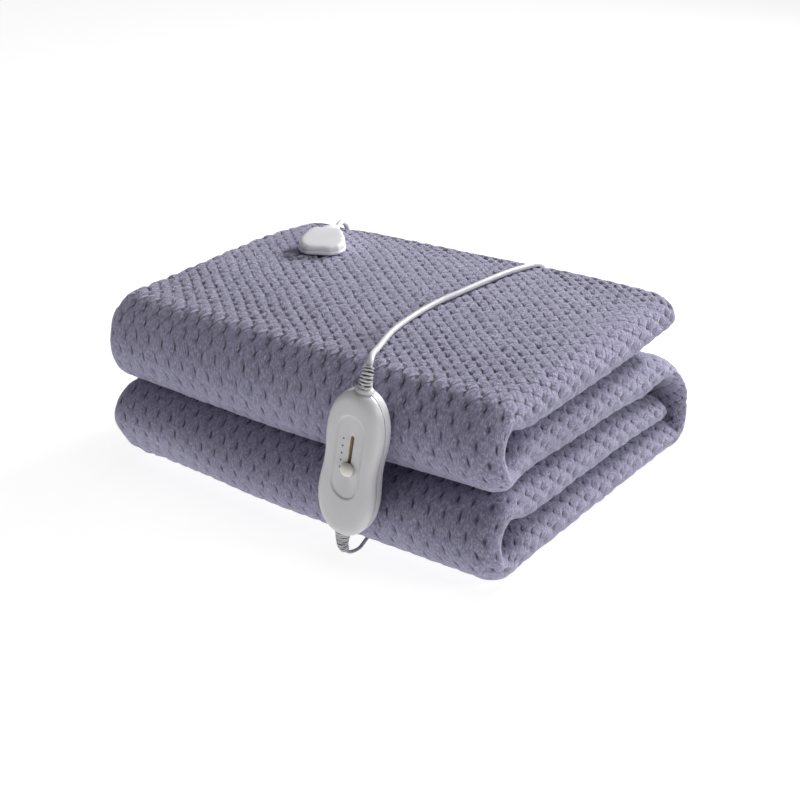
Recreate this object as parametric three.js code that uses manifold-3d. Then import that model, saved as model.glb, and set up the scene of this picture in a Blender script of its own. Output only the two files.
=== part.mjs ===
// Electric underblanket, folded into a bundle, with its slide controller hanging down the front
// and its mains lead coiled behind. Millimetres, +Z up, the front folds face -Y.
import * as THREE from "three";
import { mergeVertices } from "three/addons/utils/BufferGeometryUtils.js";
import Module from "manifold-3d";

const wasm = await Module();
wasm.setup();

// Folded cloth
const bundleWidth = 400;
const frontY = -158;
const backY = 187;
const plyThickness = 9.1;
const plyGap = 0.7;
const bandGap = 1.5;
const noseY = 149;
const tongueY = 148;
const backCornerTop = 45;
const backCornerBottom = 8;
const backSqueeze = 0.44;
const frontSqueeze = 0.62;

// Controller, its middle and its lean to the right
const controllerLength = 130;
const controllerWidth = 54;
const controllerThickness = 22;
const controllerMiddle = new THREE.Vector3(81.5, frontY - 13, 91.4);
const controllerLean = THREE.MathUtils.degToRad(9.9);
const recess = { across: 0.4, up: 8.7, width: 24, length: 74, depth: 1.4 };
const slot = { across: 2, width: 3.4, length: 34, depth: 5 };
const knobDiameter = 12.5;
const knobRise = 5.2;
const sliderTravel = 26;

// Connector on top of the bundle
const connectorPlace = new THREE.Vector3(-113, 36, 159.9);
const connectorTurn = THREE.MathUtils.degToRad(27);
const socketHeight = 3;
const connectorHeight = 14;

// Cords
const controlCordDiameter = 5;
const mainsLeadDiameter = 3;
const leadX = 64;
const coil = { y: 226, innerRadius: 13.2, turnsAcross: 3, layers: 4, lift: 1.7 };
const plugLength = 34;
const plugWidth = 36;
const plugThickness = 14;

const gap = 0.3;

// Puts the origin under the middle of the bundle and its controller
const originShift = new THREE.Vector3(-2.75, 1.95, 0);

// Worked out from them
const plyPitch = plyThickness + plyGap;
const bandThickness = 4 * plyThickness + 3 * plyGap;
const bandPitch = bandThickness + bandGap;
const halfBand = bandThickness / 2;
const halfWidth = bundleWidth / 2;
const slotMiddle = (sliderTravel - 2) / 2;

const fleece = new THREE.MeshStandardMaterial({ color: 0x8f8b9d, roughness: 0.95, metalness: 0 });
const shell = new THREE.MeshStandardMaterial({ color: 0xd8d7d9, roughness: 0.42, metalness: 0 });
const knobPlastic = new THREE.MeshStandardMaterial({ color: 0xe6e2d8, roughness: 0.35, metalness: 0 });
const cordJacket = new THREE.MeshStandardMaterial({ color: 0xd9d8d6, roughness: 0.5, metalness: 0 });
const brass = new THREE.MeshStandardMaterial({ color: 0xb9b4a4, roughness: 0.3, metalness: 1 });

const product = new THREE.Group();

function add(name, geometry, material, place = new THREE.Matrix4()) {
  const mesh = new THREE.Mesh(geometry, material);
  mesh.name = name;
  mesh.applyMatrix4(place);
  product.add(mesh);
  return mesh;
}

function smooth(from, to, value) {
  const t = Math.min(1, Math.max(0, (value - from) / (to - from)));
  return t * t * (3 - 2 * t);
}

// Stations along a plane path of straight runs and round turns, each with its place and heading
function walk(start, heading, rows) {
  const stations = [{ a: start[0], b: start[1], heading, row: rows[0].name, along: 0 }];
  let { a, b } = stations[0];
  let angle = heading;
  let along = 0;
  for (const row of rows) {
    const length = row.radius ? (Math.abs(row.turn) * Math.PI * row.radius) / 180 : row.run;
    const step = length / row.steps;
    const bend = row.radius ? (row.turn * Math.PI) / 180 / row.steps : 0;
    const chord = row.radius ? 2 * row.radius * Math.sin(Math.abs(bend) / 2) : step;
    for (let i = 0; i < row.steps; i += 1) {
      a += chord * Math.cos(angle + bend / 2);
      b += chord * Math.sin(angle + bend / 2);
      angle += bend;
      along += step;
      stations.push({ a, b, heading: angle, row: row.name, along });
    }
  }
  return stations;
}

// First fold, across the bundle: both side quarters turn in, then the cloth folds in half.
// a is x and b is the place in the band's thickness.
const smallFold = plyPitch / 2;
const wrapFold = 1.5 * plyPitch;
const leftCentre = -halfWidth + smallFold + plyThickness / 2;
const rightCentre = halfWidth - wrapFold - plyThickness / 2;
const hemX = rightCentre + 3;
const acrossRows = [
  { name: "first quarter", run: hemX - leftCentre, steps: 3 },
  { name: "upper left fold", turn: -180, radius: smallFold, steps: 3 },
  { name: "second quarter", run: rightCentre - leftCentre, steps: 6 },
  { name: "right fold", turn: -180, radius: wrapFold, steps: 6 },
  { name: "third quarter, right", run: rightCentre - leadX - 9, steps: 2 },
  { name: "third quarter, over the lead", run: 18, steps: 6 },
  { name: "third quarter, left", run: leadX - 9 - leftCentre, steps: 4 },
  { name: "lower left fold", turn: -180, radius: smallFold, steps: 3 },
  { name: "fourth quarter", run: hemX - leftCentre, steps: 3 },
];
const across = walk([hemX, plyPitch / 2], Math.PI, acrossRows);

// Second fold, along the cloth: the back-and-forth section. a is y and b is z.
const bandZ = (band) => halfBand + band * bandPitch;
const frontCentre = frontY + bandPitch / 2 + halfBand;
const topCornerY = backY - halfBand - backCornerTop;
const bottomCornerY = backY - halfBand - backCornerBottom;
const alongRows = [
  { name: "top band", run: noseY - frontCentre, steps: 6 },
  { name: "top front fold", turn: 180, radius: bandPitch / 2, steps: 7 },
  { name: "second band", run: topCornerY - frontCentre, steps: 5 },
  { name: "back corner, upper", turn: -90, radius: backCornerTop, steps: 5 },
  { name: "back wall", run: 2 * bandPitch - backCornerTop - backCornerBottom, steps: 3 },
  { name: "back corner, lower", turn: -90, radius: backCornerBottom, steps: 3 },
  { name: "bottom band", run: bottomCornerY - frontCentre, steps: 6 },
  { name: "bottom front fold", turn: -180, radius: bandPitch / 2, steps: 7 },
  { name: "inner band", run: tongueY - frontCentre, steps: 5 },
];
const along = walk([noseY, bandZ(3)], Math.PI, alongRows);
const pathEnd = along[along.length - 1].along;

const rowStart = {};
alongRows.reduce((sum, row) => {
  rowStart[row.name] = sum;
  return sum + (row.radius ? (Math.abs(row.turn) * Math.PI * row.radius) / 180 : row.run);
}, 0);

// The band is thinner round its turns. Each row keeps the outer face and draws the inner one to it.
const squeezes = [
  { from: "top front fold", to: "second band", before: 34, after: 30, share: frontSqueeze, outer: 1 },
  { from: "back corner, upper", to: "bottom band", before: 40, after: 12, share: backSqueeze, outer: -1 },
  { from: "bottom front fold", to: "inner band", before: 30, after: 34, share: frontSqueeze, outer: -1 },
];

function squeezed(d, s) {
  for (const row of squeezes) {
    const from = rowStart[row.from];
    const to = rowStart[row.to];
    if (s < from - row.before || s > to + row.after) continue;
    const easing = smooth(from - row.before, from + 30, s) * (1 - smooth(to - 20, to + row.after, s));
    const share = 1 - (1 - row.share) * easing;
    return d * share + row.outer * (1 - share) * halfBand;
  }
  return d;
}

// Free ends are rounded in thickness and at their corners, so the plies end a little short there
function recede(x, d) {
  const inThickness = 1 - Math.sqrt(Math.max(0, 1 - (d / (halfBand + 1)) ** 2));
  const inPlan = smooth(halfWidth - 34, halfWidth, Math.abs(x)) ** 2;
  return 13 * inThickness + 11 * inPlan;
}

// Slow unevenness of the settled bundle: soft pushes laid over the regular folds. Each row has its
// centre, its reach (wide in x, deep in y, tall in z), its push, and the first run that it moves.
const settling = [
  { where: "front crease", x: -10, y: -80, z: 79, wide: 150, deep: 400, tall: 48, dx: 0, dy: 0, dz: -8 },
  { where: "crown", x: -30, y: 0, z: 158, wide: 150, deep: 400, tall: 60, dx: 0, dy: 0, dz: 1.5 },
  { where: "right of the top", x: 230, y: 0, z: 158, wide: 80, deep: 400, tall: 70, dx: 0, dy: 0, dz: -3.5 },
  { where: "back of the top", x: -40, y: 149, z: 158, wide: 120, deep: 40, tall: 50, dx: 0, dy: 0, dz: -6 },
  { where: "left back corner", x: -190, y: 160, z: 158, wide: 95, deep: 70, tall: 60, dx: 0, dy: 0, dz: -8 },
  { where: "left cord bed", x: -163, y: 138, z: 156, wide: 20, deep: 22, tall: 26, dx: 0, dy: 0, dz: -5 },
  { where: "right cord bed", x: 57, y: 142, z: 156, wide: 20, deep: 22, tall: 26, dx: 0, dy: 0, dz: -4 },
  { where: "nose lifts", x: 200, y: 149, z: 122, wide: 150, deep: 70, tall: 24, dx: 0, dy: 0, dz: 5 },
  { where: "back turn", x: 60, y: 170, z: 105, wide: 400, deep: 75, tall: 50, dx: 0, dy: 0, dz: -27,
    first: "second band" },
  { where: "back wall", x: 0, y: 200, z: 50, wide: 900, deep: 80, tall: 60, dx: 0, dy: -6, dz: 0 },
  { where: "left end, upper", x: -215, y: -100, z: 120, wide: 60, deep: 150, tall: 35, dx: 6, dy: 0, dz: 0 },
  { where: "left end, lower", x: -175, y: -150, z: 20, wide: 90, deep: 60, tall: 28, dx: 0, dy: 5, dz: 7 },
  { where: "upper lip", x: 205, y: -144, z: 98, wide: 40, deep: 20, tall: 24, dx: 6, dy: 0, dz: 0 },
  { where: "behind the lip", x: 205, y: -80, z: 98, wide: 40, deep: 50, tall: 18, dx: -6, dy: 0, dz: 0 },
  { where: "lower lip", x: 205, y: -150, z: 25, wide: 40, deep: 20, tall: 22, dx: 3, dy: 0, dz: 0 },
];
function settle(p, s) {
  const moved = p.clone();
  const offTheFloor = smooth(0, 5, p.z);
  for (const row of settling) {
    const reach = ((p.x - row.x) / row.wide) ** 2 + ((p.y - row.y) / row.deep) ** 2
      + ((p.z - row.z) / row.tall) ** 2;
    const begun = row.first ? smooth(rowStart[row.first], rowStart[row.first] + 150, s) : 1;
    const share = begun * Math.exp(-reach);
    moved.add(new THREE.Vector3(row.dx, row.dy, row.dz * offTheFloor).multiplyScalar(share));
  }
  return moved;
}

// The lowest ply is pressed in along the mains lead, which runs under the bundle
const channel = { halfWidth: 6, depth: 4.5, fadeFront: 14 };

function pressedByLead(u, v) {
  if (!u.row.startsWith("third quarter")) return 0;
  const begun = smooth(rowStart["back corner, lower"], rowStart["bottom band"], v.along);
  const frontFold = rowStart["bottom front fold"];
  const left = 1 - smooth(frontFold, frontFold + channel.fadeFront, v.along);
  return channel.depth * begun * left * Math.exp(-(((u.a - leadX) / channel.halfWidth) ** 4));
}

// A point of the cloth: station i across, station j along, and the face of the ply, 1 or -1
function clothPoint(i, j, face) {
  const u = across[i];
  const v = along[j];
  const side = (face * plyThickness) / 2;
  const x = u.a - Math.sin(u.heading) * side;
  const d = u.b + Math.cos(u.heading) * side;
  const shortfall = recede(x, d);
  const fromNose = Math.max(0, 1 - v.along / 60) ** 2;
  const fromTongue = Math.max(0, 1 - (pathEnd - v.along) / 60) ** 2;
  const slip = shortfall * (fromNose - fromTongue);
  const offset = squeezed(d, v.along) + (face > 0 ? pressedByLead(u, v) : 0);
  const y = v.a + slip * Math.cos(v.heading) + Math.sin(v.heading) * offset;
  const z = v.b + slip * Math.sin(v.heading) - Math.cos(v.heading) * offset;
  return settle(new THREE.Vector3(x, y, z), v.along);
}

function blanketGeometry() {
  const columns = across.length;
  const rows = along.length;
  const positions = [];
  for (const face of [1, -1]) {
    for (let j = 0; j < rows; j += 1) {
      for (let i = 0; i < columns; i += 1) {
        positions.push(...clothPoint(i, j, face).toArray());
      }
    }
  }
  const at = (i, j, back) => (back * rows + j) * columns + i;
  const index = [];
  const quad = (a, b, c, d) => index.push(a, c, b, a, d, c);
  for (let j = 0; j + 1 < rows; j += 1) {
    for (let i = 0; i + 1 < columns; i += 1) {
      quad(at(i, j, 0), at(i + 1, j, 0), at(i + 1, j + 1, 0), at(i, j + 1, 0));
      quad(at(i, j, 1), at(i, j + 1, 1), at(i + 1, j + 1, 1), at(i + 1, j, 1));
    }
  }
  for (let i = 0; i + 1 < columns; i += 1) {
    quad(at(i, 0, 0), at(i, 0, 1), at(i + 1, 0, 1), at(i + 1, 0, 0));
    quad(at(i, rows - 1, 0), at(i + 1, rows - 1, 0), at(i + 1, rows - 1, 1), at(i, rows - 1, 1));
  }
  for (let j = 0; j + 1 < rows; j += 1) {
    quad(at(0, j, 0), at(0, j + 1, 0), at(0, j + 1, 1), at(0, j, 1));
    const last = columns - 1;
    quad(at(last, j, 0), at(last, j, 1), at(last, j + 1, 1), at(last, j + 1, 0));
  }
  const geometry = new THREE.BufferGeometry();
  geometry.setAttribute("position", new THREE.Float32BufferAttribute(positions, 3));
  geometry.setIndex(index);
  geometry.computeVertexNormals();
  return geometry;
}

add("blanket", blanketGeometry(), fleece);

// Helpers for the hard pieces
function merged(geometry) {
  const bare = geometry.clone();
  bare.deleteAttribute("normal");
  bare.deleteAttribute("uv");
  return mergeVertices(bare, 1e-4);
}

function solidOf(geometry) {
  const whole = merged(geometry);
  const index = whole.index.array;
  return new wasm.Manifold(new wasm.Mesh({
    numProp: 3,
    vertProperties: new Float32Array(whole.attributes.position.array),
    triVerts: new Uint32Array(index),
  }));
}

function geometryOf(solid) {
  const mesh = solid.getMesh();
  const geometry = new THREE.BufferGeometry();
  geometry.setAttribute("position", new THREE.Float32BufferAttribute(mesh.vertProperties, 3));
  geometry.setIndex(Array.from(mesh.triVerts));
  geometry.computeVertexNormals();
  return geometry;
}

// A closed body through rings of equal count, each ring a list of points, with flat ends
function loft(rings) {
  const count = rings[0].length;
  const positions = rings.flat().flatMap((p) => p.toArray());
  const index = [];
  for (let r = 0; r + 1 < rings.length; r += 1) {
    for (let i = 0; i < count; i += 1) {
      const next = (i + 1) % count;
      const a = r * count + i;
      const b = r * count + next;
      index.push(a, b, b + count, a, b + count, a + count);
    }
  }
  const last = (rings.length - 1) * count;
  for (let i = 1; i + 1 < count; i += 1) {
    index.push(0, i + 1, i, last, last + i, last + i + 1);
  }
  const geometry = new THREE.BufferGeometry();
  geometry.setAttribute("position", new THREE.Float32BufferAttribute(positions, 3));
  geometry.setIndex(index);
  geometry.computeVertexNormals();
  return geometry;
}

// A round piece of changing radius along a curve; stations give the share of its length and radius
function taperedAlong(curve, stations, sides) {
  const side = new THREE.Vector3(1, 0, 0);
  const rings = stations.map(({ at, radius }) => {
    const middle = curve.getPointAt(at);
    const ahead = curve.getTangentAt(at);
    const right = side.clone().addScaledVector(ahead, -side.dot(ahead)).normalize();
    const up = new THREE.Vector3().crossVectors(ahead, right);
    return Array.from({ length: sides }, (unused, i) => {
      const turn = (2 * Math.PI * i) / sides;
      return middle.clone().addScaledVector(right, radius * Math.cos(turn))
        .addScaledVector(up, radius * Math.sin(turn));
    });
  });
  return loft(rings);
}

function tube(points, diameter, steps, sides) {
  const outline = new THREE.Shape();
  for (let i = 0; i < sides; i += 1) {
    const turn = (2 * Math.PI * i) / sides;
    const place = [(diameter / 2) * Math.cos(turn), (diameter / 2) * Math.sin(turn)];
    if (i === 0) outline.moveTo(...place);
    else outline.lineTo(...place);
  }
  outline.closePath();
  const extrudePath = new THREE.CatmullRomCurve3(points, false, "centripetal");
  return new THREE.ExtrudeGeometry(outline, { steps, bevelEnabled: false, extrudePath });
}

// Controller: x across, y up along it and z out of its face
const controllerAcross = new THREE.Vector3(Math.cos(controllerLean), 0, -Math.sin(controllerLean));
const controllerUp = new THREE.Vector3(Math.sin(controllerLean), 0, Math.cos(controllerLean));
const controllerOut = new THREE.Vector3(0, -1, 0);
const controllerPlace = new THREE.Matrix4()
  .makeBasis(controllerAcross, controllerUp, controllerOut)
  .setPosition(controllerMiddle);

// Half the body's width at a height up it: round ends and a slight waist
function bodyHalfWidth(share) {
  const end = (1 - Math.abs(share) ** (share > 0 ? 3.4 : 3)) ** (1 / 2.1);
  return (controllerWidth / 2) * end - 2.2 * Math.exp(-((share / 0.34) ** 2));
}

function bodyRing(out, inset) {
  const half = 22;
  const right = [];
  for (let i = 0; i <= half; i += 1) {
    const share = -Math.cos((Math.PI * i) / half);
    const width = i === 0 || i === half ? 0 : bodyHalfWidth(share);
    const shrink = 1 - inset / (controllerWidth / 2);
    right.push([width * shrink, share * (controllerLength / 2 - inset)]);
  }
  const left = right.slice(1, half).reverse().map(([x, y]) => [-x, y]);
  return [...right, ...left].map(([x, y]) => new THREE.Vector3(x, y, out));
}

const backLevels = [
  { out: -11, inset: 6 },
  { out: -10, inset: 2.6 },
  { out: -8, inset: 0.7 },
  { out: -4, inset: 0 },
  { out: -gap / 2, inset: 0 },
];
const frontLevels = [
  { out: gap / 2, inset: 0 },
  { out: 4, inset: 0.3 },
  { out: 7.5, inset: 1.7 },
  { out: 9.5, inset: 4.2 },
  { out: 10.6, inset: 8 },
  { out: controllerThickness / 2, inset: 12 },
];

function roundEnded(width, length, depth, out, place) {
  const outline = new THREE.Shape();
  const straight = (length - width) / 2;
  outline.absarc(0, straight, width / 2, 0, Math.PI, false);
  outline.absarc(0, -straight, width / 2, Math.PI, 2 * Math.PI, false);
  const geometry = new THREE.ExtrudeGeometry(outline, { depth, bevelEnabled: false, curveSegments: 10 });
  geometry.translate(place.across, place.up, out);
  return geometry;
}

const recessFloor = controllerThickness / 2 - recess.depth;

function frontGeometry() {
  const body = solidOf(loft(frontLevels.map(({ out, inset }) => bodyRing(out, inset))));
  const dip = solidOf(roundEnded(recess.width, recess.length, 10, recessFloor, recess));
  const slotPlace = { across: slot.across, up: slotMiddle };
  const cut = solidOf(roundEnded(slot.width, slot.length, 10, recessFloor - slot.depth, slotPlace));
  return geometryOf(body.subtract(dip).subtract(cut));
}

function knobGeometry() {
  const radius = knobDiameter / 2;
  const foot = recessFloor + gap;
  const edge = 1.2;
  const profile = [new THREE.Vector2(0, foot), new THREE.Vector2(radius, foot)];
  const steps = 7;
  for (let i = 0; i <= steps; i += 1) {
    const turn = (i / steps) * (Math.PI / 2);
    const height = foot + edge + (knobRise - edge) * Math.sin(turn);
    profile.push(new THREE.Vector2(radius * Math.cos(turn), height));
  }
  profile[profile.length - 1].x = 0;
  const dome = new THREE.LatheGeometry(profile, 24);
  dome.rotateX(Math.PI / 2);
  const stemPlace = { across: 0, up: 0 };
  const stem = roundEnded(slot.width - 2 * gap, 7, slot.depth - 1, foot - slot.depth + 1.5, stemPlace);
  const knob = geometryOf(solidOf(dome).add(solidOf(stem)));
  return knob.translate(slot.across, slotMiddle - sliderTravel / 2, 0);
}

const backShell = loft(backLevels.map(({ out, inset }) => bodyRing(out, inset)));
add("housing_back", backShell, shell, controllerPlace);
add("housing_front", frontGeometry(), shell, controllerPlace);
add("slider_knob", knobGeometry(), knobPlastic, controllerPlace);

// Strain reliefs: a collar, then ribs that get smaller towards the cord
function reliefGeometry(points, collarRadius, baseRadius, tipRadius, ribs) {
  const curve = new THREE.CatmullRomCurve3(points, false, "centripetal");
  const collar = 0.13;
  const stations = [{ at: 0, radius: collarRadius }, { at: collar - 0.02, radius: baseRadius + 0.4 }];
  for (let i = 0; i < ribs; i += 1) {
    const from = collar + ((1 - collar) * i) / ribs;
    const pitch = (1 - collar) / ribs;
    const radius = baseRadius + ((tipRadius - baseRadius) * i) / (ribs - 1);
    stations.push({ at: from, radius: radius - 1.3 });
    stations.push({ at: from + 0.34 * pitch, radius: radius - 1.3 });
    stations.push({ at: from + 0.46 * pitch, radius });
    stations.push({ at: from + 0.9 * pitch, radius });
  }
  stations.push({ at: 1, radius: tipRadius - 0.5 });
  return taperedAlong(curve, stations, 14);
}

const bodyEnd = (direction) => controllerMiddle.clone()
  .addScaledVector(controllerUp, direction * (controllerLength / 2 + gap));
const upperReliefPoints = [
  bodyEnd(1),
  new THREE.Vector3(93.9, -170.6, 162),
  new THREE.Vector3(94.2, -169, 168.2),
  new THREE.Vector3(93.4, -165.8, 173.3),
];
const lowerReliefPoints = [
  bodyEnd(-1),
  new THREE.Vector3(69.4, -171, 20),
  new THREE.Vector3(69, -170.4, 14),
  new THREE.Vector3(69.1, -167.9, 8.6),
];
add("relief_upper", reliefGeometry(upperReliefPoints, 7.4, 5.6, 4.7, 6), shell);
add("relief_lower", reliefGeometry(lowerReliefPoints, 6.6, 5.2, 3.4, 6), shell);

// Connector: x across it, y towards its cord and z up. Half widths by distance from its front edge.
const connectorOutline = [
  { from: 0, half: 9 },
  { from: 1.6, half: 13 },
  { from: 5, half: 17 },
  { from: 9, half: 19.8 },
  { from: 14, half: 22.4 },
  { from: 20, half: 23.8 },
  { from: 27, half: 23 },
  { from: 35, half: 19 },
  { from: 42, half: 14.6 },
];
// Its neck, low and high above the socket's underside
const neckRows = [
  { from: 30, half: 11.5, low: 3.6, high: 10.5 },
  { from: 43, half: 11.5, low: 3.6, high: 10.5 },
  { from: 52, half: 8.6, low: -0.8, high: 8 },
  { from: 66, half: 5.6, low: -2.2, high: 5 },
  { from: 86, half: 3.6, low: -5.6, high: 1 },
];

function outlineShape(rows, inset) {
  const shrink = 1 - inset / 24;
  const middle = 21;
  const placed = rows.map(({ from, half }) => [half * shrink, middle + (from - middle) * shrink]);
  const all = [...placed, ...placed.slice().reverse().map(([x, y]) => [-x, y])];
  return all.map(([x, y]) => new THREE.Vector2(x, y));
}

function plate(points, height) {
  return new THREE.ExtrudeGeometry(new THREE.Shape(points), { depth: height, bevelEnabled: false });
}

function connectorGeometry() {
  const foot = socketHeight + gap;
  const levels = [
    { z: foot, inset: 0.6 },
    { z: foot + 4.5, inset: 0.9 },
    { z: connectorHeight - 2.6, inset: 2.4 },
    { z: connectorHeight - 0.8, inset: 4.6 },
    { z: connectorHeight, inset: 8 },
  ];
  const levelRing = ({ z, inset }) => outlineShape(connectorOutline, inset)
    .map((p) => new THREE.Vector3(p.x, p.y, z));
  const dome = loft(levels.map(levelRing));
  const sides = 12;
  const neckRing = ({ from, half, low, high }) => Array.from({ length: sides }, (unused, i) => {
    const turn = (2 * Math.PI * i) / sides;
    const height = (low + high + (high - low) * Math.sin(turn)) / 2;
    return new THREE.Vector3(-half * Math.cos(turn), from, height);
  });
  const neck = loft(neckRows.map(neckRing));
  return geometryOf(solidOf(dome).add(solidOf(neck)));
}

const connectorMatrix = new THREE.Matrix4().makeRotationZ(connectorTurn).setPosition(connectorPlace);
add("connector_socket", plate(outlineShape(connectorOutline, 0), socketHeight), shell, connectorMatrix);
add("connector_plug", connectorGeometry(), shell, connectorMatrix);

// Control cord: over the front shoulder, back along the top, down behind the free end, along it
// and up again to the connector
const controlCordRoute = [
  [93.3, -165.4, 173.8], [92.5, -163, 176.2], [88.4, -156, 176.8], [79.8, -142.7, 172.4],
  [68.5, -119.2, 167.6], [59, -98.5, 164.4], [51, -76, 162.5], [46.9, -52.8, 162.1],
  [44.6, -25.8, 162.1], [44.5, 2.7, 162.1], [47, 26.5, 162.1], [49.5, 54.9, 162.1],
  [53.4, 94.8, 161.4], [56.6, 125, 158.9], [57.5, 139, 156.6], [58, 148.6, 151.2], [57.4, 153, 141.6],
  [54.5, 153.6, 129], [48.5, 152, 114], [38, 148.4, 101.8], [20, 144.6, 94.6],
  [-10, 143.4, 91.9], [-45, 143.4, 91.9], [-85, 143.4, 92.9], [-118, 144.8, 95.8],
  [-140, 148.2, 103], [-153.5, 149.6, 113], [-161, 149.6, 126], [-163.6, 148.4, 139],
  [-163.4, 142, 151.2], [-160.6, 132, 156.2], [-156, 121, 157.2], [-152.2, 113.3, 157.5],
].map((p) => new THREE.Vector3(...p));
add("control_cord", tube(controlCordRoute, controlCordDiameter, 44, 10), cordJacket);

// Mains lead: from the lower relief to the floor, straight back under the cloth, then coiled
const leadPitch = mainsLeadDiameter + 0.1;
const coilOuterTurn = coil.innerRadius + leadPitch / 2 + (coil.turnsAcross - 1) * leadPitch;
const coilOuterRadius = coil.innerRadius + coil.turnsAcross * leadPitch;
const coilTop = coil.lift + coil.layers * leadPitch;
const coilX = leadX + coilOuterTurn;
const tailY = coil.y - coilOuterTurn;
const floorZ = mainsLeadDiameter / 2 + gap;
const reach = Math.sqrt(coilOuterRadius ** 2 - (coilOuterTurn - mainsLeadDiameter / 2) ** 2) + 0.5;
const leadRoute = [
  [69.1, -167.6, 8.1], [69.3, -166.1, 5.9], [69.8, -162, 3.2], [70.5, -156.5, 2],
  [70.6, -150, floorZ], [67.6, -139, floorZ], [64.8, -128, floorZ], [leadX, -110, floorZ],
  [leadX, -40, floorZ], [leadX, 60, floorZ], [leadX, 150, floorZ], [leadX, 190, 2],
  [leadX, coil.y - reach, 3],
].map((p) => new THREE.Vector3(...p));
const tailRoute = [
  [coilX - reach, tailY, coilTop - leadPitch / 2], [60, tailY, 11.2], [46, tailY + 0.2, 8.2],
  [32, tailY + 0.6, 5.1], [20, tailY + 0.9, 3.6], [14.5, tailY + 1, 3.5],
].map((p) => new THREE.Vector3(...p));
add("mains_lead", tube(leadRoute, mainsLeadDiameter, 30, 8), cordJacket);
add("mains_lead_tail", tube(tailRoute, mainsLeadDiameter, 6, 8), cordJacket);

function coilGeometry() {
  const corner = 1.2;
  const inside = coil.innerRadius;
  const outside = coilOuterRadius;
  const corners = [
    [inside, coil.lift + corner], [inside + corner, coil.lift], [outside - corner, coil.lift],
    [outside, coil.lift + corner], [outside, coilTop - corner], [outside - corner, coilTop],
    [inside + corner, coilTop], [inside, coilTop - corner], [inside, coil.lift + corner],
  ];
  const profile = corners.map(([r, z]) => new THREE.Vector2(r, z));
  return new THREE.LatheGeometry(profile, 36).rotateX(Math.PI / 2);
}

// A band round the coil's section, closed on itself
function tieGeometry() {
  const thickness = 1.2;
  const width = 6;
  const inner = {
    low: coil.lift - gap,
    high: coilTop + gap,
    near: coil.innerRadius - 0.8,
    far: coilOuterRadius + gap,
  };
  const frame = (grow) => [
    [inner.near - grow, inner.low - grow], [inner.far + grow, inner.low - grow],
    [inner.far + grow, inner.high + grow], [inner.near - grow, inner.high + grow],
  ].map(([x, z]) => new THREE.Vector2(x, z));
  const outline = new THREE.Shape(frame(thickness));
  outline.holes.push(new THREE.Path(frame(0).reverse()));
  const geometry = new THREE.ExtrudeGeometry(outline, { depth: width, bevelEnabled: false });
  return geometry.translate(0, 0, -width / 2).rotateX(Math.PI / 2);
}

const coilPlace = new THREE.Matrix4().makeTranslation(coilX, coil.y, 0);
add("lead_coil", coilGeometry(), cordJacket, coilPlace);
add("coil_tie", tieGeometry(), knobPlastic, coilPlace);

// Two-pin plug, flat on the floor: x runs back from its face and y across
const plugReliefLength = 26;
const plugMiddle = new THREE.Vector3(14 - plugReliefLength - gap, tailY + 1, plugThickness / 2 + gap);
const plugReliefPoints = [
  plugMiddle.clone().setX(plugMiddle.x + gap),
  plugMiddle.clone().add(new THREE.Vector3(6, 0, -0.05)),
  plugMiddle.clone().add(new THREE.Vector3(17, 0, -2.2)),
  new THREE.Vector3(14, tailY + 1, 3.5),
];

function plugGeometry() {
  const edge = 2.4;
  const half = plugWidth / 2 - edge;
  const corners = [
    [-edge, -5.4 + edge], [-edge, 5.4 - edge], [-14, half], [-plugLength + edge, half],
    [-plugLength + edge, -half], [-14, -half],
  ];
  const outline = new THREE.Shape(corners.map(([x, y]) => new THREE.Vector2(x, y)));
  const depth = plugThickness - 2 * edge;
  const bevel = { bevelEnabled: true, bevelThickness: edge, bevelSize: edge, bevelSegments: 3 };
  return new THREE.ExtrudeGeometry(outline, { depth, ...bevel }).translate(0, 0, -depth / 2);
}

function pinGeometry() {
  const radius = 2;
  const length = 19;
  const profile = [[0, 0], [radius, 0], [radius, length - 1.2], [1.1, length], [0, length]]
    .map(([r, z]) => new THREE.Vector2(r, z));
  return geometryOf(solidOf(new THREE.LatheGeometry(profile, 16))).rotateZ(Math.PI / 2);
}

add("plug_relief", reliefGeometry(plugReliefPoints, 5, 4.7, 2.9, 6), cordJacket);
add("plug_body", plugGeometry(), cordJacket, new THREE.Matrix4().setPosition(plugMiddle));
[-1, 1].forEach((side, i) => {
  const place = plugMiddle.clone().add(new THREE.Vector3(-plugLength - gap, side * 9.3, 0));
  add(`plug_pin_${i + 1}`, pinGeometry(), brass, new THREE.Matrix4().setPosition(place));
});

product.position.copy(originShift);

export default product;
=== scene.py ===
import math

import bmesh
import bpy
import numpy as np
from mathutils import Matrix, Vector, noise


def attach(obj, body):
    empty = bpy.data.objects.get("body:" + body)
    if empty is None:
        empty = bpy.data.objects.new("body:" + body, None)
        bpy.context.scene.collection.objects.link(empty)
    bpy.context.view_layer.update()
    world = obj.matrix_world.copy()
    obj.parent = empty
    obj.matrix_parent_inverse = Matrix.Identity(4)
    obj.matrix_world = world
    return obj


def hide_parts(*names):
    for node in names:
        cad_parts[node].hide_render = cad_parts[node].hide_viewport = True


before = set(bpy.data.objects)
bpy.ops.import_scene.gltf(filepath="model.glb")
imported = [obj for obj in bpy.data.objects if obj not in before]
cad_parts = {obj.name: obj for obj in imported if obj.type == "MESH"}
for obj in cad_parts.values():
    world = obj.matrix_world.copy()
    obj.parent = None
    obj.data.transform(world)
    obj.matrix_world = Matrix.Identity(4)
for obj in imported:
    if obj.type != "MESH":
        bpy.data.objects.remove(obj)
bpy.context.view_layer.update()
scene = bpy.context.scene
scene.view_settings.view_transform = "Standard"
print("stage: frame loaded,", len(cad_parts), "nodes")

originShift = Vector((-2.75, 1.95, 0))  # from the fold's own millimetres to the part's frame


def toFrame(spot):
    return (Vector(spot) + originShift) * 0.001


# Camera, lights and floor

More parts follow.
